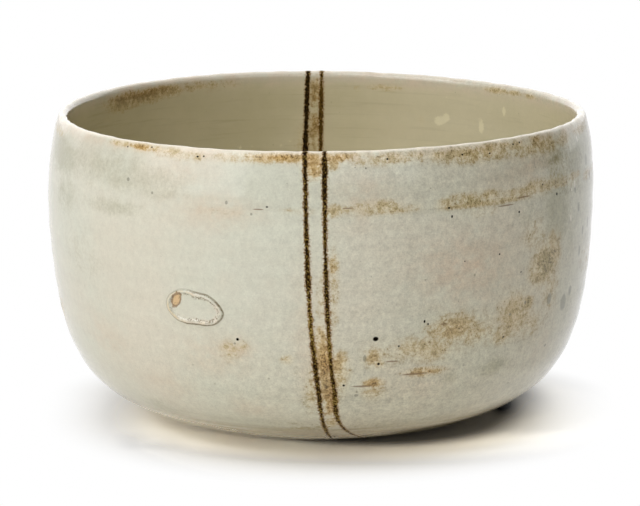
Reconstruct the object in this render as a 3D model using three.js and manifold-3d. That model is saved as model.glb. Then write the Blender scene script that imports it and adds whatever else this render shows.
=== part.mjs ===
// A stoneware bowl, thrown on the wheel and turned at the foot. Millimetres, +Z up, the front
// towards -Y, and the origin on the floor under the middle of the foot ring.
// Two coats of glaze cover the clay, one outside and one inside, and meet on the crest of the lip.
// Two dark iron lines lie in the glaze. Each runs from the foot up the front, over the lip, down
// and across the inside, over the lip again and down the back.
// An oval clay wafer with a blank seal is pressed on the wall at the front left.
import * as THREE from "three";
import { mergeVertices } from "three/addons/utils/BufferGeometryUtils.js";
import Module from "manifold-3d";

const wasm = await Module();
wasm.setup();

// Outside of the finished bowl
const bellyRadius = 75;
const bellyHeight = 65.7; // where the wall is widest
const shoulderRise = 20.8; // from the belly to the crest of the lip
const footRadius = 32; // where the glaze ends
const glazeLineHeight = 0.5;
const footRise = 0.212; // radians that the underside climbs at where it leaves the foot
const undersideReach = 0.79; // how far the underside runs out before it turns up, 0 to 1
const wallFullness = 0.782; // how far down the wall stays upright, 0 to 1
const shoulderEase = 0.31; // how softly the wall bends in to the lip, 0 to 1

// Lip, a rounded edge between the two shoulders
const lipRadius = 71; // to the middle of the lip
const lipThickness = 2.9;
const lipDrop = 1.6; // height in which the lip rounds off
const lipLean = 0.3; // radians that the wall leans in below the lip
const lipRoundness = 0.55;

// Inside
const wallThickness = 3.7; // at the belly, with both coats of glaze
const floorHeight = 6.3; // of the finished inside floor
const innerFullness = 0.85; // how far down the inner wall stays upright, 0 to 1
const floorReach = 0.75; // how far the floor runs out before it turns up, 0 to 1

// Foot ring, turned from the same clay and left bare
const footRingWidth = 4;
const footRecess = 1.5; // depth of the hollow inside the ring
const footBevel = 0.5;
const glazeShoulder = 0.5; // how far the glaze stands out past the ring

// Coats of glaze
const outerGlazeThickness = 0.9;
const innerGlazeThickness = 0.8;
const coatClearance = 0.1; // between each coat and the clay, and between the coats on the lip

// Iron lines
const lineWidth = 1.4;
const lineDepth = 0.45;
const lineClearance = 0.1;
const lineEndHeight = 1.9; // both lines stop a little above where the glaze ends
const leftLipFront = -4.05; // x of the left line on the lip, at the front and at the back
const leftLipBack = -3.75;
const leftFloor = -4.6;
const leftFootFront = 4.2;
const leftFootBack = -4.8;
const rightLipFront = 0.95;
const rightLipBack = 0.3;
const rightFloor = 0.4;
const rightFootFront = 14;
const rightFootBack = 0.2;
const upperWaypoint = 62.7; // heights at which the lines' routes bend
const middleWaypoint = 44.7;
const lowerWaypoint = 24.2;
const undersideWaypoint = 10.2;

// Oval seal
const sealLength = 16.8;
const sealHeight = 8.4;
const sealRimWidth = 1.1;
const sealRimProud = 0.5;
const sealFaceProud = 0.12;
const sealClearance = 0.12;
const sealCentreHeight = 44.5;
const sealAzimuth = -0.461; // radians from the front, to the left
const sealTilt = -0.12; // radians, down to the right

// How the wheel and the kiln left it out of round, growing from nothing at the foot
const ovality = 0.012; // share of the radius
const ovalDirection = 0.262;
const threeLobe = 0.006; // share of the radius
const threeLobeDirection = 0.087;
const lipWaveTwo = 0.268; // height of the lip's wave of two crests
const lipWaveTwoDirection = -1.174;
const lipWaveThree = 0.12;
const lipWaveThreeDirection = -0.414;

// Fineness of the facets
const segmentsAround = 48;
const lowerSteps = 9;
const shoulderSteps = 3;
const lipSteps = 2;
const innerSteps = 8;
const stepsPerStretch = 2; // of a line's route, between two of its points

const bowlHeight = bellyHeight + shoulderRise;
const lipOutside = lipRadius + lipThickness / 2;
const lipInside = lipRadius - lipThickness / 2;
const shoulderHeight = bowlHeight - lipDrop;
const innerRadius = bellyRadius - wallThickness;

// Each line's route seen from the front: x on the lip and on the floor, and [x, height] points from
// the lip down in between.
const routes = {
  left: {
    front: {
      lip: leftLipFront,
      outsideRoute: [
        [leftLipFront + 0.65, upperWaypoint],
        [leftLipFront + 1.35, middleWaypoint],
        [leftLipFront + 3.3, lowerWaypoint],
        [leftLipFront + 5.85, undersideWaypoint],
        [leftFootFront, lineEndHeight],
      ],
      insideRoute: [[leftFloor + 0.2, upperWaypoint]],
      floor: leftFloor,
    },
    back: {
      lip: leftLipBack,
      outsideRoute: [
        [leftLipBack + 0.35, upperWaypoint],
        [leftLipBack - 0.15, lowerWaypoint],
        [leftFootBack, lineEndHeight],
      ],
      insideRoute: [
        [leftFloor, upperWaypoint],
        [leftFloor - 0.2, middleWaypoint],
      ],
      floor: leftFloor,
    },
  },
  right: {
    front: {
      lip: rightLipFront,
      outsideRoute: [
        [rightLipFront + 0.2, upperWaypoint],
        [rightLipFront + 0.8, middleWaypoint],
        [rightLipFront + 2.4, lowerWaypoint],
        [rightLipFront + 5.2, undersideWaypoint],
        [rightFootFront, lineEndHeight],
      ],
      insideRoute: [[rightFloor + 0.2, upperWaypoint]],
      floor: rightFloor,
    },
    back: {
      lip: rightLipBack,
      outsideRoute: [
        [rightLipBack + 0.4, upperWaypoint],
        [rightLipBack + 0.6, lowerWaypoint],
        [rightFootBack, lineEndHeight],
      ],
      insideRoute: [
        [rightFloor - 0.4, upperWaypoint],
        [rightFloor - 0.3, middleWaypoint],
      ],
      floor: rightFloor,
    },
  },
};

function vector(x, y) {
  return new THREE.Vector2(x, y);
}

// The finished surface as one meridian in (radius, height): up the outside, over the lip, down
// the inside and along the floor to the axis.
function meridianCurves() {
  const foot = vector(footRadius, glazeLineHeight);
  const belly = vector(bellyRadius, bellyHeight);
  const crest = vector(lipRadius, bowlHeight);
  const outerShoulder = vector(lipOutside, shoulderHeight);
  const innerShoulder = vector(lipInside, shoulderHeight);
  const innerBelly = vector(innerRadius, bellyHeight);
  const floorMiddle = vector(0, floorHeight);
  const reach = undersideReach * (bellyRadius - footRadius);
  const upright = wallFullness * (bellyHeight - glazeLineHeight);
  const ease = shoulderEase * (shoulderHeight - bellyHeight);
  const lean = vector(-Math.sin(lipLean), Math.cos(lipLean));
  const innerLean = innerShoulder.clone().sub(innerBelly).normalize();
  const roundOver = (lipRoundness * lipThickness) / 2;
  const roundUp = lipRoundness * lipDrop;
  const lowerWall = new THREE.CubicBezierCurve(
    foot,
    vector(reach * Math.cos(footRise), reach * Math.sin(footRise)).add(foot),
    vector(bellyRadius, bellyHeight - upright),
    belly,
  );
  const upperWall = new THREE.CubicBezierCurve(
    belly,
    vector(bellyRadius, bellyHeight + ease),
    outerShoulder.clone().addScaledVector(lean, -ease),
    outerShoulder,
  );
  const lipOut = new THREE.CubicBezierCurve(
    outerShoulder,
    outerShoulder.clone().addScaledVector(lean, roundUp),
    vector(lipRadius + roundOver, bowlHeight),
    crest,
  );
  const lipIn = new THREE.CubicBezierCurve(
    crest,
    vector(lipRadius - roundOver, bowlHeight),
    innerShoulder.clone().addScaledVector(innerLean, roundUp),
    innerShoulder,
  );
  const innerUpper = new THREE.CubicBezierCurve(
    innerShoulder,
    innerShoulder.clone().addScaledVector(innerLean, -ease),
    vector(innerRadius, bellyHeight + ease),
    innerBelly,
  );
  const innerLower = new THREE.CubicBezierCurve(
    innerBelly,
    vector(innerRadius, bellyHeight - innerFullness * (bellyHeight - floorHeight)),
    vector(floorReach * innerRadius, floorHeight),
    floorMiddle,
  );
  return { lowerWall, upperWall, lipOut, lipIn, innerUpper, innerLower };
}

// The point of a curve at t and the direction out of the clay there.
function stationOn(curve, t) {
  const s = 1 - t;
  const slope = curve.v1.clone().sub(curve.v0).multiplyScalar(s * s);
  slope.addScaledVector(curve.v2.clone().sub(curve.v1), 2 * s * t);
  slope.addScaledVector(curve.v3.clone().sub(curve.v2), t * t);
  slope.normalize();
  return { point: curve.getPoint(t), outward: vector(slope.y, -slope.x) };
}

function stationsAlong(curve, steps) {
  return Array.from({ length: steps }, (_, i) => stationOn(curve, (i + 1) / steps));
}

const curves = meridianCurves();
const stations = [
  stationOn(curves.lowerWall, 0),
  ...stationsAlong(curves.lowerWall, lowerSteps),
  ...stationsAlong(curves.upperWall, shoulderSteps),
  ...stationsAlong(curves.lipOut, lipSteps),
  ...stationsAlong(curves.lipIn, lipSteps),
  ...stationsAlong(curves.innerUpper, shoulderSteps),
  ...stationsAlong(curves.innerLower, innerSteps),
];
const crestStation = lowerSteps + shoulderSteps + lipSteps;
const lastStation = stations.length - 1;

// Moves each point out of round. It turns the shape by nothing at the foot and most at the lip.
function outOfRound(geometry) {
  const position = geometry.getAttribute("position");
  for (let i = 0; i < position.count; i += 1) {
    const x = position.getX(i);
    const y = position.getY(i);
    const z = position.getZ(i);
    const angle = Math.atan2(y, x);
    const growth = (z / bowlHeight) ** 2;
    const oval = ovality * Math.cos(2 * (angle - ovalDirection));
    const lobes = threeLobe * Math.cos(3 * (angle - threeLobeDirection));
    const waveTwo = lipWaveTwo * Math.cos(2 * (angle - lipWaveTwoDirection));
    const waveThree = lipWaveThree * Math.cos(3 * (angle - lipWaveThreeDirection));
    const factor = 1 + growth * (oval + lobes);
    position.setXYZ(i, x * factor, y * factor, z + growth * (waveTwo + waveThree));
  }
  return geometry;
}

function solidFrom(geometry) {
  geometry.deleteAttribute("normal");
  geometry.deleteAttribute("uv");
  const merged = mergeVertices(geometry);
  const vertProperties = merged.getAttribute("position").array;
  const triVerts = new Uint32Array(merged.index.array);
  return new wasm.Manifold(new wasm.Mesh({ numProp: 3, vertProperties, triVerts }));
}

// A solid of revolution about Z from an outline of (radius, height) points.
function revolve(outline) {
  const geometry = new THREE.LatheGeometry(outline, segmentsAround);
  geometry.rotateX(Math.PI / 2);
  return solidFrom(outOfRound(geometry));
}

function sunk(station, depth) {
  return station.point.clone().addScaledVector(station.outward, -depth);
}

// The layer between two depths under the finished surface, from one station to another.
function layer(first, last, nearDepth, farDepth) {
  const range = stations.slice(first, last + 1);
  const near = range.map((station) => sunk(station, nearDepth));
  const far = range.map((station) => sunk(station, farDepth)).reverse();
  return revolve([...near, ...far, near[0].clone()]);
}

// The thrown clay: the foot ring, then the meridian sunk by each coat and its clearance.
function clayBody() {
  const ringOuter = footRadius - glazeShoulder;
  const ringInner = footRadius - footRingWidth;
  const foot = [
    vector(0, footRecess),
    vector(ringInner - footBevel, footRecess),
    vector(ringInner, footBevel),
    vector(ringInner + footBevel, 0),
    vector(ringOuter - footBevel, 0),
    vector(ringOuter, footBevel),
  ];
  const wall = stations.map((station, index) => {
    const coat = index > crestStation ? innerGlazeThickness : outerGlazeThickness;
    return sunk(station, coat + coatClearance);
  });
  return revolve([...foot, ...wall]);
}

// A slab that stands on its edge along Y, as wide as a line and as bent as its route. It reaches
// from just past the axis to beyond the wall, at the front or at the back.
function curtain(route, width, side) {
  const reach = 2 * bellyRadius;
  const shift = reach / 2 - lineClearance;
  const path = new THREE.SplineCurve(route.map(([x, z]) => vector(x, z)));
  const steps = stepsPerStretch * (route.length - 1);
  const geometry = new THREE.BoxGeometry(width, reach, 1, 1, 1, steps);
  const position = geometry.getAttribute("position");
  for (let i = 0; i < position.count; i += 1) {
    const along = path.getPoint(0.5 - position.getZ(i));
    const y = position.getY(i) + (side === "front" ? -shift : shift);
    position.setXYZ(i, position.getX(i) + along.x, y, along.y);
  }
  return solidFrom(geometry);
}

// One iron line or its groove: the layer between two depths, where the four curtains cross it.
// The outside and the inside overlap on the lip, and the two halves of the inside on the axis.
function band(which, width, nearDepth, farDepth) {
  const above = bowlHeight + lipDrop;
  const below = floorHeight - 2 * innerGlazeThickness;
  const outside = layer(0, crestStation + 1, nearDepth, farDepth);
  const inside = layer(crestStation - 1, lastStation, nearDepth, farDepth);
  const pieces = ["front", "back"].flatMap((side) => {
    const { lip, outsideRoute, insideRoute, floor } = routes[which][side];
    const outsideCurtain = curtain([[lip, above], ...outsideRoute], width, side);
    const insideCurtain = curtain([[lip, above], ...insideRoute, [floor, below]], width, side);
    return [outside.intersect(outsideCurtain), inside.intersect(insideCurtain)];
  });
  return pieces.reduce((whole, piece) => whole.add(piece));
}

function line(which) {
  return band(which, lineWidth, 0, lineDepth);
}

function groove(which) {
  const width = lineWidth + 2 * lineClearance;
  return band(which, width, -outerGlazeThickness, lineDepth + lineClearance);
}

// The wall's station at a height below the belly, found by halving.
function wallAt(height) {
  let low = 0;
  let high = 1;
  for (let i = 0; i < 30; i += 1) {
    const middle = (low + high) / 2;
    if (curves.lowerWall.getPoint(middle).y < height) low = middle;
    else high = middle;
  }
  return stationOn(curves.lowerWall, low);
}

// A plug of the seal's oval, square to the wall, that grows or shrinks by a margin all round.
function sealPlug(margin) {
  const station = wallAt(sealCentreHeight);
  const length = sealLength / 2 + margin;
  const height = sealHeight / 2 + margin;
  const outline = new THREE.Shape();
  outline.absellipse(0, 0, length, height, 0, 2 * Math.PI, false, sealTilt);
  const depth = 2 * sealHeight;
  const geometry = new THREE.ExtrudeGeometry(outline, { depth, bevelEnabled: false, curveSegments: 12 });
  geometry.translate(0, 0, -depth / 2);
  const around = vector(Math.sin(sealAzimuth), -Math.cos(sealAzimuth));
  const { point, outward } = station;
  const out = new THREE.Vector3(around.x * outward.x, around.y * outward.x, outward.y);
  const right = new THREE.Vector3(-around.y, around.x, 0);
  const up = new THREE.Vector3().crossVectors(out, right);
  const place = new THREE.Matrix4().makeBasis(right, up, out);
  place.setPosition(around.x * point.x, around.y * point.x, point.y);
  geometry.applyMatrix4(place);
  return solidFrom(geometry);
}

// The wafer follows the wall: a low face, and a raised rim round it.
function sealPad() {
  const face = layer(0, crestStation, -sealFaceProud, outerGlazeThickness);
  const proud = layer(0, crestStation, -sealRimProud, outerGlazeThickness);
  const rim = sealPlug(0).subtract(sealPlug(-sealRimWidth));
  return face.intersect(sealPlug(0)).add(proud.intersect(rim));
}

function outerGlaze() {
  const coat = layer(0, crestStation, 0, outerGlazeThickness);
  const grooved = coat.subtract(groove("left")).subtract(groove("right"));
  return grooved.subtract(sealPlug(sealClearance));
}

// The inside coat stops short of the outside one by the clearance, on the crest of the lip.
function innerGlaze() {
  const coat = layer(crestStation, lastStation, 0, innerGlazeThickness);
  const seam = revolve([
    vector(lipRadius - coatClearance, bowlHeight - lipDrop),
    vector(lipRadius + lipThickness, bowlHeight - lipDrop),
    vector(lipRadius + lipThickness, bowlHeight + lipDrop),
    vector(lipRadius - coatClearance, bowlHeight + lipDrop),
    vector(lipRadius - coatClearance, bowlHeight - lipDrop),
  ]);
  return coat.subtract(seam).subtract(groove("left")).subtract(groove("right"));
}

function meshOf(name, solid, color, roughness) {
  const made = solid.getMesh();
  const geometry = new THREE.BufferGeometry();
  geometry.setAttribute("position", new THREE.BufferAttribute(made.vertProperties, 3));
  geometry.setIndex(new THREE.BufferAttribute(made.triVerts, 1));
  geometry.computeVertexNormals();
  const material = new THREE.MeshStandardMaterial({ color, roughness, metalness: 0 });
  const mesh = new THREE.Mesh(geometry, material);
  mesh.name = name;
  return mesh;
}

const bowl = new THREE.Group();
bowl.add(
  meshOf("clay_body", clayBody(), 0xb08a60, 0.85),
  meshOf("outer_glaze", outerGlaze(), 0xc8c7ba, 0.3),
  meshOf("inner_glaze", innerGlaze(), 0xa8a28c, 0.35),
  meshOf("left_line", line("left"), 0x2e231a, 0.4),
  meshOf("right_line", line("right"), 0x2e231a, 0.4),
  meshOf("seal_pad", sealPad(), 0xcbc8b8, 0.35),
);

export default bowl;
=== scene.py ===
from math import cos, pi, radians, sin

import bpy
import numpy as np
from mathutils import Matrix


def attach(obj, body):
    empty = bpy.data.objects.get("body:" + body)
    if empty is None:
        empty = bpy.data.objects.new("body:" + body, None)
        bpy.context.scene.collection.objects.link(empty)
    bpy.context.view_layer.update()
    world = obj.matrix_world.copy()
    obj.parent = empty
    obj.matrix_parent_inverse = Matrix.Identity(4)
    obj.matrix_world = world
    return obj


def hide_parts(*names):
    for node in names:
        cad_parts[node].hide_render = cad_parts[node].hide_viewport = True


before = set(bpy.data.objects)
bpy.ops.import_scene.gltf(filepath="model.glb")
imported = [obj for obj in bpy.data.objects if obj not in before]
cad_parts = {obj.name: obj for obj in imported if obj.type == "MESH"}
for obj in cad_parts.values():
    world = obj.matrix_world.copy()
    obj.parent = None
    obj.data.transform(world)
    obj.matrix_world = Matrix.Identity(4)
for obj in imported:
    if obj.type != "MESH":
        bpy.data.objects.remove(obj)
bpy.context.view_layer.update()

# The thrown clay: buff stoneware pulled up on the wheel, with a low foot ring turned from it when
# it was leather hard. Only the foot stays bare. Every other piece lies on this one's meridian,
# which runs up the outside, over the lip, down the inside and along the floor to the axis.
mm = 0.001
belly_radius = 75 * mm
belly_height = 65.7 * mm  # where the wall is widest
bowl_height = 86.5 * mm  # to the crest of the lip
foot_radius = 32 * mm  # where the glaze ends
glaze_line = 0.5 * mm
foot_rise = 0.212  # radians that the underside climbs at where it leaves the foot
underside_reach = 0.79
wall_fullness = 0.782
shoulder_ease = 0.31
lip_radius = 71 * mm
lip_thickness = 2.9 * mm
lip_drop = 1.6 * mm
lip_lean = 0.3
lip_roundness = 0.55
wall_thickness = 3.7 * mm
floor_height = 6.3 * mm
inner_fullness = 0.85
floor_reach = 0.75


def bend(start, leave, arrive, end, steps=400):
    """A cubic curve that leaves start towards one point and arrives at end from another: their mean
    with the weights (1-t)^3, 3t(1-t)^2, 3t^2(1-t) and t^3."""
    t = np.linspace(0, 1, steps)[:, None]
    start, leave, arrive, end = (np.asarray(point) for point in (start, leave, arrive, end))
    return (1 - t) ** 3 * start + 3 * t * (1 - t) ** 2 * leave + 3 * t**2 * (1 - t) * arrive + t**3 * end


def meridian():
    """The finished surface as points of (radius, height): six such curves end to end, from the
    glaze line at the foot to the middle of the floor inside."""
    foot = np.array([foot_radius, glaze_line])
    belly = np.array([belly_radius, belly_height])
    crest = np.array([lip_radius, bowl_height])
    outer_shoulder = crest + [lip_thickness / 2, -lip_drop]
    inner_shoulder = crest + [-lip_thickness / 2, -lip_drop]
    inner_belly = belly - [wall_thickness, 0]
    inner_rise = inner_belly[1] - floor_height
    middle = np.array([0, floor_height])
    reach = underside_reach * (belly_radius - foot_radius)
    ease = shoulder_ease * (outer_shoulder[1] - belly_height)
    lean = np.array([-sin(lip_lean), cos(lip_lean)])
    inner_lean = (inner_shoulder - inner_belly) / np.hypot(*(inner_shoulder - inner_belly))
    over = np.array([lip_roundness * lip_thickness / 2, 0])
    up = lip_roundness * lip_drop
    upright = np.array([0, wall_fullness * (belly_height - glaze_line)])
    inner_upright = np.array([0, inner_fullness * inner_rise])
    floor_edge = np.array([floor_reach * inner_belly[0], floor_height])
    curves = [
        bend(foot, foot + reach * np.array([cos(foot_rise), sin(foot_rise)]), belly - upright, belly),
        bend(belly, belly + [0, ease], outer_shoulder - ease * lean, outer_shoulder),
        bend(outer_shoulder, outer_shoulder + up * lean, crest + over, crest),
        bend(crest, crest - over, inner_shoulder + up * inner_lean, inner_shoulder),
        bend(inner_shoulder, inner_shoulder - ease * inner_lean, inner_belly + [0, ease], inner_belly),
        bend(inner_belly, inner_belly - inner_upright, floor_edge, middle),
    ]
    return np.vstack([curve[:-1] for curve in curves] + [middle])


path = meridian()
run_along = np.concatenate([[0], np.cumsum(np.hypot(*np.diff(path, axis=0).T))])
slope = np.gradient(path, run_along, axis=0)
slope /= np.hypot(*slope.T)[:, None]
outward = np.stack([slope[:, 1], -slope[:, 0]], 1)
crest_at = path[:, 1].argmax()
crest_run = run_along[crest_at]
floor_run = run_along[-1]

oval, oval_turn = 0.012, pi / 2 + 0.262  # shares of the radius, and where they are greatest
lobes, lobes_turn = 0.006, pi / 2 + 0.087
lip_wave, lip_wave_turn = 0.268 * mm, pi / 2 - 1.174
lip_roll, lip_roll_turn = 0.12 * mm, pi / 2 - 0.414


def out_of_round(turn, radius, height):
    """Carries (radius, height) round the axis by turn, in radians from the front to the right, and
    puts it out of round: waves of two and three crests in radius and in height, which grow with
    the square of the height."""
    growth = (height / bowl_height) ** 2
    swell = oval * np.cos(2 * (turn - oval_turn)) + lobes * np.cos(3 * (turn - lobes_turn))
    wave = lip_wave * np.cos(2 * (turn - lip_wave_turn)) + lip_roll * np.cos(3 * (turn - lip_roll_turn))
    radius = radius * (1 + growth * swell)
    return np.stack([radius * np.sin(turn), -radius * np.cos(turn), height + growth * wave], -1)


def shell(name, places, marks=None, ring=False):
    """A closed skin over a grid of places, rows by columns. The columns go round and meet. The
    rows end in two poles, or meet too where ring is true. marks are named values on the grid,
    kept as attributes."""
    rows, columns = places.shape[:2]

    def once(grid):
        """The grid as one row for each point. A pole is one point."""
        flat = grid.reshape(rows * columns, -1)
        return flat if ring else np.vstack([flat[:1], flat[columns:-columns], flat[-1:]])

    if ring:
        index = np.arange(rows * columns).reshape(rows, columns)
        index = np.vstack([index, index[:1]])
        fans = []
    else:
        index = 1 + np.arange((rows - 2) * columns).reshape(rows - 2, columns)
        first, last = index[0], index[-1]
        top = (rows - 2) * columns + 1
        fans = np.stack([0 * first, np.roll(first, -1), first], 1).tolist()
        fans += np.stack([last, np.roll(last, -1), 0 * last + top], 1).tolist()
    low, high = index[:-1], index[1:]
    quads = np.stack([low, np.roll(low, -1, 1), np.roll(high, -1, 1), high], -1).reshape(-1, 4)
    mesh = bpy.data.meshes.new(name)
    mesh.from_pydata(once(places), [], quads.tolist() + fans)
    for mark, values in (marks or {}).items():
        attribute = mesh.attributes.new(mark, "FLOAT", "POINT")
        attribute.data.foreach_set("value", once(values).ravel().astype(np.float32))
    mesh.shade_smooth()
    mesh.set_sharp_from_angle(angle=radians(40))
    piece = bpy.data.objects.new(name, mesh)
    bpy.context.scene.collection.objects.link(piece)
    return piece


def stand_in(piece, finish, slot, *nodes):
    """Gives the piece its finish and puts it on the bowl in place of the frame's nodes."""
    piece.data.materials.append(finish)
    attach(piece, "root")
    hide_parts(*nodes)


def tint(red, green, blue):
    """A colour as it is seen, 0 to 255, in the linear light that the shaders use."""
    seen = np.array([red, green, blue]) / 255
    linear = np.where(seen < 0.04045, seen / 12.92, ((seen + 0.055) / 1.055) ** 2.4)
    return (*linear.tolist(), 1.0)


class Wire:
    """An output inside a finish. Arithmetic on it adds Math nodes."""

    def __init__(self, finish, socket):
        self.finish = finish
        self.socket = socket

    def math(self, operation, *values):
        return self.finish.node("ShaderNodeMath", {"operation": operation}, dict(enumerate(values)))

    def __add__(self, other):
        return self.math("ADD", self, other)

    def __sub__(self, other):
        return self.math("SUBTRACT", self, other)

    def __rsub__(self, other):
        return self.math("SUBTRACT", other, self)

    def __mul__(self, other):
        return self.math("MULTIPLY", self, other)

    def __lt__(self, other):
        return self.math("LESS_THAN", self, other)

    def __abs__(self):
        return self.math("ABSOLUTE", self)

    __radd__ = __add__
    __rmul__ = __mul__

    def most(self, other):
        return self.math("MAXIMUM", self, other)

    def root(self):
        return self.math("SQRT", self)

    def rise(self, low, high):
        """0 below low, 1 above high, and smooth between."""
        settings = {"interpolation_type": "SMOOTHSTEP"}
        inputs = {"Value": self, "From Min": low, "From Max": high}
        return self.finish.node("ShaderNodeMapRange", settings, inputs)


class Finish:
    """The nodes of a material, or of the world. Patterns lie in the piece's own space, in metres."""

    def __init__(self, owner):
        self.owner = owner
        owner.use_nodes = True
        self.tree = owner.node_tree
        self.tree.nodes.clear()
        self.place = self.node("ShaderNodeTexCoord", out="Object")

    def node(self, kind, settings=None, inputs=None, out=0):
        """Adds a node: its settings first, then the values or wires of its sockets."""
        made = self.tree.nodes.new(kind)
        for key, value in (settings or {}).items():
            setattr(made, key, value)
        for key, value in (inputs or {}).items():
            if isinstance(value, Wire):
                self.tree.links.new(value.socket, made.inputs[key])
            else:
                made.inputs[key].default_value = value
        return Wire(self, made.outputs[out]) if made.outputs else None

    def mark(self, name):
        """A value kept on the mesh."""
        return self.node("ShaderNodeAttribute", {"attribute_name": name}, out="Fac")

    def vectors(self, operation, first, second, out=0):
        """Arithmetic on two places."""
        return self.node("ShaderNodeVectorMath", {"operation": operation}, {0: first, 1: second}, out)

    def stretched(self, stretch, shift=0.0):
        """The place times stretch, one number for each axis, and moved by shift."""
        scaled = self.vectors("MULTIPLY", self.place, stretch)
        return self.vectors("ADD", scaled, (shift, -shift, 2 * shift))

    def clouds(self, size, detail=2.0, stretch=(1, 1, 1), shift=0.0, roughness=0.5):
        """Noise of about that size, 0 in the mean and mostly between -1 and 1. A stretch over 1
        squeezes it."""
        inputs = {"Vector": self.stretched(stretch, shift), "Scale": 1 / size}
        inputs.update(Detail=detail, Roughness=roughness)
        return (self.node("ShaderNodeTexNoise", None, inputs) - 0.5) * 4.0

    def scattered(self, spacing, radius, share, shift=0.0, stretch=(1, 1, 1)):
        """Round dots, soft at the edge: one in each cell of a broken-up grid, of a size that
        differs, in that share of the cells."""
        inputs = {"Vector": self.stretched(stretch, shift), "Scale": 1 / spacing}
        from_middle = self.node("ShaderNodeTexVoronoi", None, inputs)
        lots = Wire(self, self.tree.nodes[-1].outputs["Color"])
        lot = self.node("ShaderNodeSeparateColor", None, {0: lots}, "Red")
        width = self.node("ShaderNodeSeparateColor", None, {0: lots}, "Green")
        reach = (width * 0.7 + 0.3) * (radius / spacing)
        return (reach - from_middle).rise(0.0, 0.35 * radius / spacing) * (lot < share)

    def spot(self, middle, radius, tall=1.0):
        """One dot round a point, tall times as high as it is wide."""
        stretch = (1, 1, 1 / tall)
        middle = np.multiply(middle, stretch)
        distance = self.vectors("DISTANCE", self.stretched(stretch), middle, "Value")
        return (radius - distance).rise(-0.15 * radius, 0.3 * radius)

    def blend(self, under, over, share, mode="MIX"):
        """One colour laid over another."""
        settings = {"data_type": "RGBA", "blend_type": mode, "clamp_factor": True}
        return self.node("ShaderNodeMix", settings, {0: share, 6: under, 7: over}, 2)

    def toned(self, colour, tone):
        """The colour, lighter or darker by that share."""
        grey = self.node("ShaderNodeCombineColor", None, {0: tone + 1.0, 1: tone + 1.0, 2: tone + 1.0})
        return self.blend(colour, grey, 1.0, "MULTIPLY")

    def surface(self, colour, roughness, height, **fixed):
        """A glossy or dull surface with its relief, whose height is in mm."""
        relief = self.node("ShaderNodeBump", None, {"Strength": 1.0, "Distance": mm, "Height": height})
        inputs = {"Base Color": colour, "Roughness": roughness, "Normal": relief, **fixed}
        return self.node("ShaderNodeBsdfPrincipled", None, inputs)

    def fired(self, surface):
        """Ends the finish and hands over its material."""
        self.node("ShaderNodeOutputMaterial", None, {"Surface": surface})
        return self.owner


def bare_clay():
    """Toasted buff stoneware: sandy, specked with iron, and flashed orange in clouds."""
    clay = Finish(bpy.data.materials.new("bare clay"))
    cloud = clay.clouds(18 * mm, 3.0)
    sand = clay.clouds(0.7 * mm, 3.0, roughness=0.7)
    grooves = clay.clouds(1.1 * mm, 2.0, (0.05, 0.05, 1.0), 0.3)
    grit = clay.scattered(1.9 * mm, 0.32 * mm, 0.4)
    colour = clay.blend(tint(196, 164, 124), tint(170, 120, 78), cloud.rise(-0.3, 0.5))
    colour = clay.blend(colour, tint(214, 190, 154), sand.rise(0.0, 0.9) * 0.5)
    colour = clay.blend(colour, tint(74, 48, 30), grit * 0.8)
    height = sand * 0.015 + grooves * 0.012 - grit * 0.05
    return clay.fired(clay.surface(colour, 0.82 - sand * 0.03, height))


foot_corners = mm * np.array([[0, 1.5], [27.5, 1.5], [28, 0.5], [28.5, 0], [31, 0], [31.5, 0.5]])
clay_depth_outside = 1.0 * mm  # under the finished surface: a coat and the clearance behind it
clay_depth_inside = 0.9 * mm
clay_columns = 256
recess_radius, recess_height = 27 * mm, 3 * mm  # all that lies within is the hollow of the foot ring
chatter, chatter_pitch = 0.12 * mm, 2.4 * mm  # the spiral that the turning tool left in it
button_height, button_radius = 0.5 * mm, 3.5 * mm  # what the tool left standing in the middle


def bell(distance, half_width, power=2):
    """exp(-(distance / half width)^power): 1 in the middle, and dying away on both sides."""
    return np.exp(-((distance / half_width) ** power))


def step(distance, ease):
    """1 / (1 + exp(-distance / ease)): it goes from 0 to 1 where the distance changes its sign."""
    return 1 / (1 + np.exp(-distance / ease))


wall_runs = np.linspace(0, floor_run, 90)
wall_points = np.stack([np.interp(wall_runs, run_along, path[:, k]) for k in (0, 1)], 1)
wall_out = np.stack([np.interp(wall_runs, run_along, outward[:, k]) for k in (0, 1)], 1)
wall_depth = np.where(wall_runs < crest_run, clay_depth_outside, clay_depth_inside)
wall_points -= wall_out * wall_depth[:, None]
wall_points[-1, 0] = 0

corner_run = np.concatenate([[0], np.cumsum(np.hypot(*np.diff(foot_corners, axis=0).T))])
fine_run = np.linspace(0, corner_run[-1], 160)
foot_points = np.stack([np.interp(fine_run, corner_run, foot_corners[:, k]) for k in (0, 1)], 1)
clay_path = np.vstack([foot_points, wall_points])

turn, radius = np.meshgrid(np.arange(clay_columns) * 2 * pi / clay_columns, clay_path[:, 0])
height = np.repeat(clay_path[:, 1:], clay_columns, 1)
recess = (radius < recess_radius) & (height < recess_height)
spiral = chatter * np.sin(2 * pi * radius / chatter_pitch + turn) * (radius > 0)
height = height - recess * (spiral + button_height * bell(radius, button_radius))
thrown_clay = shell("thrown_clay", out_of_round(turn, radius, height))
stand_in(thrown_clay, bare_clay(), "clay", "clay_body")


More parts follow.
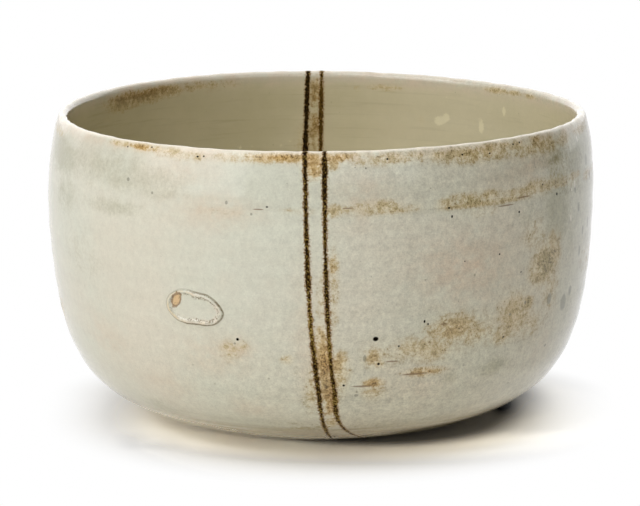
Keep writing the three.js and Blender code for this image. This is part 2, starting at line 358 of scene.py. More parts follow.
# The outer coat: a pale celadon glaze, dipped and wiped off the foot. It is thin and stained with
# iron at the lip and on the throwing rings, pools khaki round the foot, and follows the wheel's
# rings in the clay under it. Its colour also holds painted light and shade: a highlight on the lip,
# shade on the lip's inner edge and near the edges of the wall, and small highlights on the right.
ring_pitch = 8.5 * mm
columns_round = 640
coat_thickness = 0.9 * mm
ring_height = 0.045 * mm
grooves = ((94.3 * mm, 0.55 * mm), (96.6 * mm, 0.6 * mm))  # where along the meridian, and half width
groove_depth = 0.09 * mm
swell_run, swell_height, swell_turn = 83 * mm, 0.55 * mm, -1.5
thrower = np.random.default_rng(11)
dent_waves = [(2, 61), (3, 47), (4, 53), (5, 36), (7, 42), (9, 29), (12, 33)]  # round it, and mm up it
dent_height = 0.022 * mm
lip_waver = 0.018 * mm
dent_phase = thrower.uniform(0, 2 * pi, (7, 2))
lip_phase = thrower.uniform(0, 2 * pi, 12)


def relief(turn, run):
    """How far the surface stands proud of the meridian. The wheel's rings are a sine of the run,
    one pitch higher each turn round. Shallow dents are the sum of seven waves. Two grooves run
    round below the shoulder, and under them the wall swells at the left. The lip's edge wavers by
    twelve short waves that die away within a few millimetres of the crest."""
    outside = step(crest_run - run, 2 * mm)
    settled = np.clip(run / (25 * mm), 0, 1) * np.clip((floor_run - run) / (30 * mm), 0, 1)
    rings = np.sin(2 * pi * run / ring_pitch + turn + 1.5 * np.sin(run / (11 * mm)))
    dent = sum(
        np.cos(across * turn + phase[0]) * np.cos(2 * pi * run / (up * mm) + phase[1])
        for (across, up), phase in zip(dent_waves, dent_phase)
    )
    waver = sum(np.cos((14 + 5 * k) * turn + phase) for k, phase in enumerate(lip_phase))
    grooved = sum(bell(run - middle, half_width) for middle, half_width in grooves)
    swell = bell(run - swell_run, 14 * mm) * np.cos(0.5 * (turn - swell_turn)) ** 24
    body = (ring_height + 0.005 * mm * outside) * rings + dent_height * dent
    body += outside * (swell_height * swell - groove_depth * grooved)
    return settled * body + lip_waver * bell(run - crest_run, 2.2 * mm) * waver


def on_bowl(turn, run, lift=0.0):
    """The place at that turn and run, moved out along the normal by lift."""
    radius = np.interp(run, run_along, path[:, 0]) + lift * np.interp(run, run_along, outward[:, 0])
    height = np.interp(run, run_along, path[:, 1]) + lift * np.interp(run, run_along, outward[:, 1])
    return out_of_round(turn, radius, height)


def run_outside(height):
    """The run at which the outer wall has that height."""
    return np.interp(height, path[:crest_at, 1], run_along[:crest_at])


def run_inside(height):
    """The run at which the inner wall has that height."""
    return np.interp(height, path[crest_at:-1, 1][::-1], run_along[crest_at:-1][::-1])


def patches(turn, run, places, inside=False):
    """Soft patches. Each is (degrees from the front, height, half width, half height, strength),
    lengths in mm, and makes a bell exp(-(across/half width)^2 - (up/half height)^2) times the
    strength. Where they overlap, the strongest counts."""
    strongest = np.zeros_like(turn)
    radius = np.interp(run, run_along, path[:, 0])
    near_crest = np.abs(run - crest_run) < 1.5 * mm
    this_side = ((run > crest_run) == inside) | near_crest
    for degrees, height, wide, tall, strength in places:
        middle = (run_inside if inside else run_outside)(height * mm)
        across = (np.mod(turn - radians(degrees) + pi, 2 * pi) - pi) * radius / (wide * mm)
        up = (run - middle) / (tall * mm)
        strongest = np.maximum(strongest, strength * np.exp(-(across**2) - up**2))
    return strongest * this_side


stains_at_lip = [
    (-39.6, 85.2, 4.5, 1.1, 0.6), (-31, 84.6, 2, 1, 0.3), (-26, 84.3, 1.8, 1.3, 0.4),
    (-8.6, 85.1, 4.8, 1.2, 1), (-2.6, 84.9, 3, 1.6, 0.9), (-1.4, 82.6, 2.4, 3.0, 1),
    (3.9, 85.1, 2.4, 1.2, 0.95), (-6, 85, 10, 1.1, 0.95), (-13.5, 85.1, 5, 1.0, 0.75),
    (-39, 85.4, 8, 1.0, 0.75), (1.2, 85, 2, 1.4, 0.9), (-33, 85.3, 5, 0.9, 0.6),
    (-46, 85.5, 5, 0.9, 0.55), (43, 85, 6, 1.0, 0.7), (2.6, 83.6, 1.6, 1.6, 0.8),
    (8, 85.6, 3, 0.9, 0.45), (13.9, 84.7, 5, 1.4, 0.5), (20, 84.6, 4, 1.2, 0.5),
    (25, 84.3, 3.5, 1.4, 0.6), (31.5, 84.2, 5, 2, 0.7), (37.5, 84, 4.5, 2.2, 0.75),
    (45.8, 84.5, 5, 1.8, 0.7), (52, 85, 3, 1.4, 0.65), (57, 83.3, 5, 2.4, 0.6), (63, 83.4, 5, 2, 0.55),
    (-12, 84.9, 7, 1.3, 0.75), (15, 84.4, 12, 1.8, 0.5), (36, 83.7, 14, 2.4, 0.6),
    (52, 83.4, 14, 2.4, 0.6), (-30, 84.5, 9, 1.4, 0.35), (-18, 84.6, 6, 1.4, 0.4),
]
stains_on_rings = [
    (-20, 70.7, 8, 1.5, 0.14), (-4, 71.5, 6, 1, 0.25), (4.4, 71.9, 4, 1, 0.4),
    (13.1, 72.3, 4.5, 1.7, 0.6), (19, 72, 3, 0.9, 0.35), (26, 71.9, 3, 1.6, 0.6),
    (32, 72.3, 5, 1.7, 0.75), (36.4, 72.9, 4, 1.5, 0.6), (43, 72.4, 6, 1.2, 0.55),
    (50, 73, 6, 1.6, 0.75), (57, 72.7, 5, 1.5, 0.6), (65, 71.7, 4, 1.4, 0.4), (35, 72.2, 10, 2.2, 0.5),
    (52, 72.8, 11, 2.2, 0.5), (11, 71.9, 8, 2, 0.4), (34, 68.8, 7, 1.6, 0.3), (33, 71, 9, 0.6, 0.85),
    (47, 72.4, 10, 0.6, 0.85), (42, 70.8, 9, 0.5, 0.7), (58, 73.3, 8, 0.6, 0.85),
    (30, 73.4, 6, 0.5, 0.7), (14, 71.2, 8, 0.6, 0.6), (60, 71.8, 7, 0.5, 0.7), (66, 73, 5, 1.2, 0.6),
]
stains_on_wall = [
    (2.6, 57.7, 1.3, 3.4, 0.6), (10.9, 32.2, 2.6, 2.8, 0.6), (12, 30.3, 1.5, 1.2, 0.7),
    (11.2, 24.7, 2.6, 1.3, 1), (11.4, 22.2, 3.4, 3, 0.4), (28.7, 38.3, 8, 4, 0.75),
    (33.5, 36.3, 6, 3.4, 0.6), (23.7, 33.3, 7, 3.6, 0.62), (18.5, 34.2, 4, 3, 0.5),
    (22.7, 27.1, 5.5, 1.2, 0.8), (44.6, 39.7, 6.5, 6, 0.65), (40.9, 34.6, 6, 3, 0.5),
    (48.6, 42.1, 1.8, 1.8, 0.85), (53.4, 51.6, 5.4, 5.4, 0.95), (56.2, 54.5, 4, 5, 0.9),
    (50.8, 49.9, 4, 3.4, 0.7), (-19.1, 33.3, 3.2, 3.2, 0.32), (-16.6, 35.1, 2.6, 1.8, 0.3),
    (-7, 31.7, 1.8, 1.4, 0.45), (0, 37.3, 1.6, 4, 0.8), (0.6, 31.7, 1.7, 5, 1),
    (1.3, 25.2, 1.6, 4.4, 1), (2.2, 18.2, 1.8, 4, 0.8), (2.6, 12.7, 2, 3, 0.6), (36, 37, 14, 5, 0.35),
    (15, 33, 9, 4, 0.3), (27, 33, 8, 4, 0.3), (56, 46, 5, 9, 0.35), (49, 36, 8, 4, 0.35),
    (2.6, 50, 1.6, 14, 0.3), (4, 28, 2.6, 6, 0.62), (-2, 22, 2, 8, 0.35), (0.6, 31, 2, 6, 1.25),
    (1.6, 24, 2, 5, 1.2), (3.8, 30.5, 2, 3, 1), (0.5, 46, 2.4, 10, 0.3), (2.4, 71.5, 2.4, 1.6, 0.55),
    (50, 60, 6, 5, 0.3),
]
olive_pools = [
    (-5.2, 10.2, 5, 1.5, 1), (-11.7, 10.4, 5, 1.4, 0.5), (19.7, 12.5, 4, 1.4, 0.5),
    (-5.2, 29, 1.2, 6, 0.5), (-3.4, 19, 1.6, 5, 0.6), (-0.5, 11, 3, 3, 0.8), (2.8, 57.7, 1.4, 3.2, 0.7),
    (48.6, 42.1, 1.6, 1.6, 0.8), (0.4, 33, 1.8, 5, 0.4), (60, 76, 10, 10, 0.75), (-8, 12, 9, 1.6, 0.5),
    (12, 11, 12, 1.4, 0.5), (27, 11.5, 8, 1.6, 0.6), (34, 83.9, 8, 1.6, 0.6), (14, 72.2, 5, 1.4, 0.6),
    (32, 72.2, 5, 1.4, 0.8), (54, 52, 4.5, 4.5, 0.95), (7, 40, 5, 8, 0.2),
]
blushes = [
    (31, 54.7, 15, 10, 0.7), (-21, 70.7, 11, 4, 0.6), (-18, 33.5, 5, 4, 0.7), (-30, 80.7, 9, 4, 0.35),
    (-3, 38.7, 3, 18, 0.35), (20, 23.7, 12, 5, 0.2), (-22, 31.7, 10, 6, 0.45), (44, 39.7, 8, 6, 0.5),
    (-52, 31.7, 9, 6, 0.35), (-16, 16.7, 7, 4, 0.4), (-36, 20.7, 10, 5, 0.3), (9, 74.7, 9, 8, 0.4),
    (50, 78.7, 14, 6, 0.45), (56, 30, 6, 9, 0.3),
]
# Grey patches, partly grey in the glaze and partly painted shade: the large ones near the edges of the
# wall as seen, about 60 to 70 degrees round on either side, darken it where it turns from the lamps.
greys_and_shade = [
    (58, 67, 9, 17, 0.95), (-70, 79, 18, 8, 0.9), (-66, 69, 12, 8, 0.6), (-58, 53, 16, 14, 0.38),
    (-50, 78, 34, 9, 0.5), (-68, 83, 9, 4, 0.9), (-36, 77, 17, 7, 0.52), (67, 78, 8, 11, 0.85),
    (-42, 13, 12, 6, 0.5), (50, 31, 12, 8, 0.35), (40.8, 25.7, 7, 3.4, 0.8), (29.1, 24.5, 4, 2.2, 0.6),
    (64, 55.7, 5, 9, 0.6), (66, 36.7, 5, 6, 0.6), (62, 82.7, 3, 5, 0.5), (47, 66, 8, 5, 0.5),
    (24, 44, 8, 5, 0.3), (-47, 68.6, 18, 3.5, 0.6),
]
gilding = [
    (-8.6, 85, 7, 2, 1), (-2, 84.5, 5, 3, 1), (-1.4, 82.8, 3, 3.5, 1), (3.9, 85, 4, 2, 1),
    (-39.6, 85.2, 6, 1.5, 1), (1, 31.7, 4, 9, 1), (2, 20, 3, 8, 1), (22.7, 27, 7, 2, 0.8),
    (11.2, 24.7, 4, 2.5, 0.9), (10.9, 32, 3, 3, 0.5), (28, 38, 6, 3, 0.4), (2.6, 57, 1.5, 4, 0.8),
    (53, 85, 4, 2, 0.4), (35, 84, 6, 2, 0.4),
]
gilding_inside = [(-131, 84, 16, 3, 1), (-178.6, 74, 3, 14, 1)]
stains_inside = [
    (-131, 82.6, 12, 1.8, 1.15), (-125, 82.0, 6, 2.2, 1.2), (-138, 83.2, 8, 1.5, 1.1),
    (-150, 83.5, 12, 1.6, 0.45), (133, 84.7, 4.5, 0.9, 0.9), (127, 84.8, 3, 0.8, 0.7),
    (121, 84.7, 3, 0.8, 0.6), (164, 82.3, 5, 1, 0.5), (171, 81.7, 1, 0.8, 0.6),
    (155, 73.3, 1, 0.8, 0.5), (-178.6, 80.7, 1.8, 4, 0.8), (-178.6, 68.7, 1.8, 6, 0.7),
    (-177, 66, 4, 5, 0.4),
]
pale_spots = [
    (150.5, 73.3, 2.2, 1.6, 0.9), (148.4, 74.6, 1.5, 1.4, 0.9), (138.8, 75.1, 1.8, 1.5, 0.45),
    (131, 78.5, 1, 1.9, 0.8), (124, 80.1, 0.5, 0.7, 0.8), (138.6, 72.9, 1.2, 2.2, 0.85),
    (131.6, 73.3, 1, 0.8, 0.7), (145.5, 78.9, 1.2, 0.6, 0.6), (148, 80.7, 0.7, 0.8, 0.5),
    (-160.2, 64.5, 1.2, 0.8, 0.7), (-163.4, 64.7, 1.4, 0.7, 0.7), (-170.6, 64.7, 1.6, 0.8, 0.7),
    (-172.6, 65.7, 1.2, 0.7, 0.5), (-150, 68.7, 6, 2, 0.25), (-160, 74.7, 7, 1.5, 0.25),
]
# Painted light: a broad pale patch on the inside's right back, where the lamps light it.
painted_light_inside = [(140, 74, 36, 20, 0.6)]
kiln = np.random.default_rng(5)
bands_at_back = [  # height, greatest half width, half height, greatest strength, and how many
    (84.6, 9, 1.3, 0.8, 24), (72.2, 9, 1.3, 0.7, 16), (46, 12, 4, 0.5, 9), (33, 12, 4, 0.55, 11),
    (11, 9, 1.5, 0.6, 7),
]


def stain_at_back(height, wide, tall, most):
    """One stain that the photo doesn't show, cast by lot along a band of the back."""
    degrees = kiln.uniform(75, 285)
    height = height + kiln.normal(0, 0.1 * wide)
    return degrees, height, wide * kiln.uniform(0.3, 1), tall, kiln.uniform(0.3, most)


stains_at_back = [stain_at_back(*band) for *band, count in bands_at_back for _ in range(count)]
black_dots = [  # degrees from the front, height and radius in mm, and how high for its width
    (11.25, 37.3, 0.8, 0.85), (4.9, 24.4, 0.36, 1), (-17.25, 36.8, 0.45, 1), (12.1, 30.3, 0.4, 1),
    (16.25, 34.9, 0.3, 1), (21.6, 41.2, 0.3, 1.6), (22.4, 40.4, 0.25, 1.4), (41.75, 33.9, 0.3, 1),
    (57.5, 69.8, 0.42, 1), (45.5, 51, 0.25, 1), (39.2, 56.9, 0.28, 1), (30.4, 56.3, 0.2, 1),
    (44.6, 67.3, 0.34, 1), (52.6, 73.2, 0.3, 1), (-26, 84.4, 0.35, 0.7), (-24.6, 84.6, 0.25, 1),
    (-44, 84.9, 0.25, 1), (-37.4, 85.6, 0.3, 0.7), (13.9, 84.3, 0.3, 1), (9.25, 82.2, 0.14, 2.2),
    (7, 82.5, 0.14, 0.7), (-10.75, 72.5, 0.35, 0.6), (31, 84, 0.3, 1), (45, 84.9, 0.3, 1),
    (47, 85.1, 0.3, 1), (38, 83.5, 0.28, 1), (26.8, 70.8, 0.36, 0.8), (27.4, 68.5, 0.3, 1.4),
]
grey_dots = [
    (-19.1, 73.2, 0.4, 1.4), (-13.9, 70.5, 0.35, 1), (-42.6, 76.6, 0.55, 1), (-36, 74, 0.4, 1),
    (7.75, 21.3, 0.6, 0.8), (9.1, 32.1, 0.5, 2.2), (74.8, 75.6, 1.3, 1.4), (77.6, 70.8, 1.2, 1.2),
    (76, 58, 1.4, 1.2), (71.8, 56.9, 1, 1.4), (70, 51.6, 1, 1.5), (66.1, 41.5, 1.1, 1.3),
    (62.9, 38.9, 1.9, 1.3), (56.1, 41.5, 1.2, 1.4), (66.1, 69.5, 0.8, 1.6), (58.2, 27.9, 0.6, 0.8),
    (43, 39.9, 0.5, 0.8), (-17.9, 35.6, 0.35, 1), (47.5, 42.3, 0.5, 1), (68.5, 64, 0.9, 1.5),
]
scratches = [
    (-12.5, 71.8, 1.5, 0.13), (5.4, 72.2, 1.5, 0.12), (8.9, 24, 3, 0.09), (15, 30.8, 2, 0.12),
    (20.4, 26.7, 4, 0.07), (46, 71, 3, 0.08), (41, 69.6, 3, 0.07), (26, 40, 1.2, 0.15),
]
# Painted highlights: near-white spots where the glaze would glint, on the right of the wall.
painted_glints = [(70.4, 82.2, 0.5, 2), (66, 70.8, 0.6, 2), (64, 61.9, 0.5, 2), (64.2, 69.6, 0.35, 1.4)]


def stains(turn, run):
    """All that the fire left in the glaze, as named values from 0 to 1, with painted light and
    shade among them: a highlight on the lip, shade on its inner edge, shade in some of the grey,
    and light on the inside's right back. Worn is how rough and speckled the glaze is: more from
    the lines round to the right, and most at the middle of the front."""
    rust = patches(turn, run, stains_at_lip + stains_on_rings + stains_on_wall + stains_at_back)
    degrees = np.degrees(np.mod(turn + pi, 2 * pi) - pi)
    worn = 0.35 + 0.75 * (step(degrees + 2, 9) - step(degrees - 135, 14))
    worn += 0.4 * bell(run - 45 * mm, 16 * mm) * bell(degrees, 40, 4)
    past_crest = run - crest_run
    return {
        "rust": np.maximum(rust, patches(turn, run, stains_inside, True)),
        "gold": np.maximum(patches(turn, run, gilding), patches(turn, run, gilding_inside, True)),
        "worn": worn,
        "olive": patches(turn, run, olive_pools),
        "blush": patches(turn, run, blushes),
        "grey": patches(turn, run, greys_and_shade),
        "pale": patches(turn, run, pale_spots, True),
        # Painted light on the inside's right back.
        "thin": patches(turn, run, painted_light_inside, True),
        "inside": step(past_crest - 3.0 * mm, 0.7 * mm),
        "pool": step(29.5 * mm - run, 2 * mm),
        # lip: the crest, paler where the glaze ran thin, with a painted highlight along it.
        "lip": bell(past_crest + 0.2 * mm, 0.8 * mm),
        # Painted shade on the inner edge of the lip, strongest at the front, where it is turned from the
        # lamps.
        "lip_edge_shade": bell(past_crest - 1.4 * mm, 0.4 * mm) * (0.35 + 0.65 * np.cos(turn)).clip(0.1),
        "band": bell(past_crest, np.where(past_crest > 0, 5.0 * mm, 3.4 * mm), 4),
    }


class Celadon(Finish):
    """Pale celadon over buff clay, with the stains, and the painted light and shade, that its mesh
    carries. Its colours are laid one over another, and a piece may lay more of its own before it
    is fired."""

    def __init__(self, name):
        super().__init__(bpy.data.materials.new(name))
        self.mottle = self.clouds(4.5 * mm, 4.0, (1, 1, 1.4), 0.2, 0.6)
        self.blotch = self.clouds(1.7 * mm, 3.0, (1, 1, 0.8), 0.6, 0.6)
        self.streak = self.clouds(6 * mm, 4.0, (0.25, 0.25, 5.0), 0.3, 0.6)
        self.grain = self.clouds(0.8 * mm, 3.0, shift=0.4, roughness=0.7)
        self.fine = self.clouds(0.38 * mm, 2.0, shift=0.5)
        marks = ("inside", "band", "worn", "gold")
        self.inside, self.band, self.worn, self.gold = (self.mark(name) for name in marks)
        streaked = self.mottle * 0.3 + self.streak * 0.35 + self.blotch * 0.15 + 1.0
        self.rust = self.mark("rust") * streaked
        self.bloom = self.rust.rise(0.0, 0.5)
        broken = self.mottle * 0.2 + self.blotch * 0.45 + self.grain * 0.45 + self.fine * 0.2
        self.ragged = self.rust + broken * self.rust.rise(0.0, 0.25)
        self.wash = self.ragged.rise(0.08, 0.7)
        self.pour()
        self.stain()
        self.speckle()

    def lay(self, colour, share):
        """Lays one more colour over what is there."""
        self.colour = self.blend(self.colour, colour, share)

    def pour(self):
        """The glaze itself: pale grey green outside and khaki inside, clouded with pink and grey,
        darker where it pooled at the foot and paler where it ran thin at the lip. Part of the grey
        is painted shade near the edges of the wall, and the inside's right back is paler with
        painted light."""
        warm = self.clouds(32 * mm, 3.0) * 0.7 + self.mottle * 0.2
        outer = self.blend(tint(210, 212, 198), tint(215, 210, 195), warm.rise(-0.7, 0.9))
        outer = self.blend(outer, tint(200, 198, 168), (self.worn - 0.5) * 0.2)
        inner = self.blend(tint(196, 187, 152), tint(208, 198, 166), warm.rise(-0.6, 0.8))
        inner = self.blend(inner, tint(168, 158, 120), self.streak.rise(0.1, 1.1) * 0.4)
        # Painted light: paler on the lit right back of the inside.
        inner = self.blend(inner, tint(222, 214, 190), self.mark("thin") * 0.7)
        self.colour = self.blend(outer, inner, self.inside)
        self.lay(tint(212, 190, 166), self.mark("blush") * (self.mottle * 0.5 + 0.7))
        # Grey in the glaze, and painted shade near the edges of the wall.
        grey = self.mark("grey") * 1.3 + self.mottle * 0.2 + self.grain * 0.15 - 0.3
        self.lay(tint(156, 154, 124), grey.rise(0.0, 0.9) * 0.6)
        self.lay(tint(150, 134, 94), self.mark("pool") * (self.streak * 0.4 + 0.75))
        self.lay(tint(222, 202, 180), self.band * (self.mottle * 0.5 + 0.5) * 0.8)

    def stain(self):
        """The iron in it: a ragged wash of tan, or of ochre where it is gilded, with golden hearts,
        olive pools, and crumbs of umber where the patterns add up."""
        olive = self.mark("olive")
        ochre = self.blend(tint(194, 160, 94), tint(164, 130, 70), self.inside)
        tan = self.blend(tint(201, 182, 139), ochre, self.gold)
        self.lay(tan, self.wash * 0.5 + self.bloom * 0.35)
        golden = (self.ragged + self.grain * 0.2).rise(0.6, 1.05)
        amber = self.blend(tint(158, 120, 54), tint(116, 90, 44), self.inside)
        amber = self.blend(tint(172, 152, 104), amber, self.gold)
        self.lay(amber, golden * (self.gold * 0.15 + 0.5))
        yellow = olive * 1.2 + self.mottle * 0.3 + self.grain * 0.4 - 0.3
        self.lay(tint(150, 138, 88), yellow.rise(0.1, 1.0) * 0.65)
        crumbs = self.rust * 0.62 + olive * 0.12 + self.band * 0.08 + self.worn * 0.08
        crumbs = crumbs + self.blotch * 0.1 + self.grain * 0.55 + self.fine * 0.55
        umber = self.blend(tint(92, 78, 48), tint(88, 60, 28), self.gold)
        dense = (self.gold * 0.25 + 0.55) * (1.0 - self.inside * 0.6)
        self.lay(umber, crumbs.rise(0.86, 1.1) * dense)

    def speckle(self):
        """Freckles and pepper where it is worn, the pale crest of the lip, which is thinned glaze with
        a painted highlight, the painted shade along its inner edge, cream spots, a fine unevenness
        of tone over all of it, and the relief, in mm."""
        freckles = self.scattered(6.0 * mm, 0.45 * mm, 0.5, 0.7)
        pepper = self.scattered(2.6 * mm, 0.22 * mm, 0.35, 0.9)
        specks = freckles * 0.45 + pepper * 0.6
        self.lay(tint(120, 116, 92), specks * self.worn * (1.0 - self.gold * 0.8))
        # Painted shade, brown, along the inner edge of the lip.
        self.lay(tint(104, 80, 60), self.mark("lip_edge_shade") * (self.mottle * 0.5 + 0.5))
        # The pale crest: thinned glaze and a painted highlight.
        self.lay(tint(242, 233, 214), self.mark("lip") * (self.grain * 0.4 + 0.75))
        cream = self.mark("pale") + self.grain * 0.15 + self.mottle * 0.1
        self.lay(tint(230, 222, 190), cream.rise(0.35, 0.6) * 0.8)
        uneven = self.mottle * -0.045 - self.blotch * 0.115 - self.streak * 0.05
        uneven = uneven - self.grain * 0.11 - self.fine * 0.1
        rough = self.worn * (1.0 - self.inside * 0.8) + self.bloom * 0.7
        self.colour = self.toned(self.colour, uneven * rough)
        swells = self.mottle * 0.005 + self.grain * 0.0015 + self.streak * 0.004
        self.height = swells - freckles * 0.02

    def coat(self):
        """The glaze as a surface: glossy, and duller in the stains."""
        return self.surface(self.colour, 0.11 + self.wash * 0.1 + self.grain * 0.02, self.height)


def dotted_celadon():
    """The outer glaze, with the dots and scratches whose places are given, and small painted
    highlights at given places. The black dots are pinholes, dull and dark."""
    glaze = Celadon("outer celadon")

    def spots(dots):
        """1 on each of the dots and 0 off them."""
        marked = 0.0
        for degrees, up, radius, tall in dots:
            middle = on_bowl(radians(degrees), run_outside(up * mm))
            marked = glaze.spot(middle, radius * mm, tall).most(marked)
        return marked

    glaze.lay(tint(122, 122, 108), spots(grey_dots) * 0.6)
    glaze.lay(tint(120, 92, 60), spots(scratches) * 0.7)
    # Painted highlights in near-white.
    glaze.lay(tint(238, 234, 222), spots(painted_glints) * 0.9)
    hollow = glaze.node("ShaderNodeBsdfDiffuse", None, {"Color": tint(14, 9, 5)})
    both = {0: spots(black_dots), 1: glaze.coat(), 2: hollow}
    return glaze.fired(glaze.node("ShaderNodeMixShader", None, both))


below_lip = crest_run - 4 * mm  # the rows lie closer together above this
runs_up = [np.linspace(0, below_lip, 112)[:-1], np.linspace(below_lip, crest_run, 17)]
runs_up = np.concatenate(runs_up)
runs_down = np.linspace(crest_run, 0, 9)
turns = np.arange(columns_round) * 2 * pi / columns_round
turn, run = np.meshgrid(turns, np.concatenate([runs_up, runs_down]))
front = np.repeat(np.arange(len(turn)) < len(runs_up), columns_round).reshape(turn.shape)
bead = 0.15 * mm * bell(run - 1.4 * mm, 1.1 * mm)  # where the glaze stopped running, above the foot
bead = bead * (1 + 0.5 * np.sin(3 * turn + 1) * np.sin(5 * turn))
lift = np.where(front, relief(turn, run) + bead, -coat_thickness)
outer_coat = shell("outer_coat", on_bowl(turn, run, lift), stains(turn, run), ring=True)
stand_in(outer_coat, dotted_celadon(), "outer_glaze", "outer_glaze")


# The inner coat: the same glaze poured in, swirled round and poured out, so it lies thicker and
# more khaki. It meets the outer coat on the crest of the lip. Its right back is paler with painted
# light.
inner_thickness = 0.8 * mm
inner_runs = np.concatenate([
    np.linspace(crest_run, crest_run + 5 * mm, 20)[:-1],
    np.linspace(crest_run + 5 * mm, floor_run, 92),
])
back_runs = np.linspace(floor_run, crest_run, 16)
turn, run = np.meshgrid(turns, np.concatenate([back_runs, inner_runs]))
front = np.repeat(np.arange(len(turn)) >= len(back_runs), columns_round).reshape(turn.shape)
lift = np.where(front, relief(turn, run), -inner_thickness)
inner_coat = shell("inner_coat", on_bowl(turn, run, lift), stains(turn, run))
poured = Celadon("inner celadon")
stand_in(inner_coat, poured.fired(poured.coat()), "inner_glaze", "inner_glaze")


# The iron lines: two strokes of iron slip, each drawn with one loaded brush from the foot up the
# front, over the lip, across the inside and down the back. The glaze has eaten their edges brown.
line_step = 0.35 * mm
line_reach = 1.3 * mm  # half the width of the strip of glaze that each lies in
line_depth = 0.45 * mm
line_end = run_outside(1.9 * mm)
flat_radius = 20 * mm  # inside this the route is taken straight across the floor
way = (88.1, 62.7, 44.7, 24.2, 10.2, 1.9)  # heights at which the routes bend, in mm
way_inside = (88.1, 62.7, 44.7, 4.7)
brush_ways = (86.7, 84.7, 78.7, 70, 64, 58, 52, 46, 41, 35, 28, 18, 9, 3)  # where the strokes change
brush_ways_inside = (86.7, 82, 70, 40, 5)
routes = {  # mm to the right of the axis at those heights, half width in mm, and fading from 0 to 1
    "left": {
        "front": (-4.15, -3.65, -2.85, -0.8, 1.15, 4.0),
        "front_inside": (-4.15, -4.4, -4.5, -4.6),
        "back_inside": (-3.75, -4.6, -4.8, -4.6),
        "back": (-3.75, -3.4, -3.6, -3.9, -4.4, -4.8),
        "floor": -4.6,
        "half": (0.4, 0.5, 0.55, 0.52, 0.5, 0.55, 0.62, 0.56, 0.5, 0.54, 0.6, 0.55, 0.42, 0.3),
        "faded": (0.1, 0.1, 0.1, 0.2, 0.3, 0.3, 0.35, 0.55, 0.8, 0.55, 0.3, 0.35, 0.5, 0.3),
        "half_inside": (0.5, 0.6, 0.72, 0.7, 0.6),
        "faded_inside": 0.1,
    },
    "right": {
        "front": (0.95, 1.15, 1.75, 3.35, 6.15, 14),
        "front_inside": (0.95, 0.6, 0.5, 0.4),
        "back_inside": (0.3, 0.0, 0.1, 0.4),
        "back": (0.3, 0.7, 0.8, 0.9, 0.6, 0.2),
        "floor": 0.4,
        "half": (0.4, 0.62, 0.6, 0.45, 0.5, 0.52, 0.54, 0.54, 0.52, 0.5, 0.58, 0.54, 0.44, 0.35),
        "faded": (0.1, 0.05, 0.1, 0.3, 0.25, 0.2, 0.3, 0.35, 0.4, 0.75, 0.5, 0.6, 0.5, 0.1),
        "half_inside": (0.4, 0.5, 0.55, 0.5, 0.5),
        "faded_inside": 0.5,
    },
}


def eased(at, stops, values):
    """A smooth line through values at falling stops: cubic between neighbours, each slope the
    mean of its two sides."""
    stops, values = np.array(stops[::-1], float), np.array(values[::-1], float)
    slopes = np.gradient(values, stops)
    k = np.clip(np.searchsorted(stops, at) - 1, 0, len(stops) - 2)
    gap = stops[k + 1] - stops[k]
    t = np.clip((at - stops[k]) / gap, 0, 1)
    curve = (1 + 2 * t) * (1 - t) ** 2 * values[k] + t**2 * (3 - 2 * t) * values[k + 1]
    return curve + gap * (t * (1 - t) ** 2 * slopes[k] - t**2 * (1 - t) * slopes[k + 1])


def line_places(route, offsets):
    """Turn, run, half width and fading along a line's route, for each sideways offset. On the
    walls the turn is the angle whose sine is x over the radius. On the floor, x and y give turn
    and radius."""
    inner_radii, inner_runs = path[crest_at:, 0][::-1], run_along[crest_at:][::-1]
    floor_edge = np.interp(flat_radius, inner_radii, inner_runs)
    legs = []
    for side, away in (("front", 0), ("back", pi)):
        for inside in (False, True):
            ends = (crest_run, floor_edge) if inside else (line_end, crest_run)
            run = np.linspace(*ends, int(abs(ends[1] - ends[0]) / line_step))
            height = np.interp(run, run_along, path[:, 1]) / mm
            if inside:
                x = eased(height, way_inside, route[side + "_inside"]) * mm
                half = eased(height, brush_ways_inside, route["half_inside"])
                faded = np.full_like(half, route["faded_inside"])
            else:
                x = eased(height, way, route[side]) * mm
                half = eased(height, brush_ways, route["half"])
                faded = eased(height, brush_ways, route["faded"])
            radius = np.interp(run, run_along, path[:, 0])
            lean = np.arcsin((x[:, None] + offsets) / radius[:, None])
            turn = away - lean if away else lean
            legs.append((turn, np.repeat(run[:, None], len(offsets), 1), half, faded))
    y = np.arange(-flat_radius, flat_radius, line_step)[:, None]
    x = route["floor"] * mm + offsets + 0 * y
    run = np.interp(np.hypot(x, y), inner_radii, inner_runs)
    constant = [np.full(len(y), value) for value in (route["half_inside"][-1], route["faded_inside"])]
    floor = (np.arctan2(x, -y), run, *constant)
    up_front, down_front, up_back, down_back = legs
    back = [tuple(part[::-1] for part in leg) for leg in (down_back, up_back)]
    return [np.concatenate(parts) for parts in zip(up_front, down_front, floor, *back)]


def capped(grid):
    """The grid with one more row at each end, drawn together to the middle of the row beside it."""
    first, last = grid[:1].mean(1, keepdims=True), grid[-1:].mean(1, keepdims=True)
    ends = [np.repeat(end, grid.shape[1], 1) for end in (first, last)]
    return np.concatenate([ends[0], grid, ends[1]])


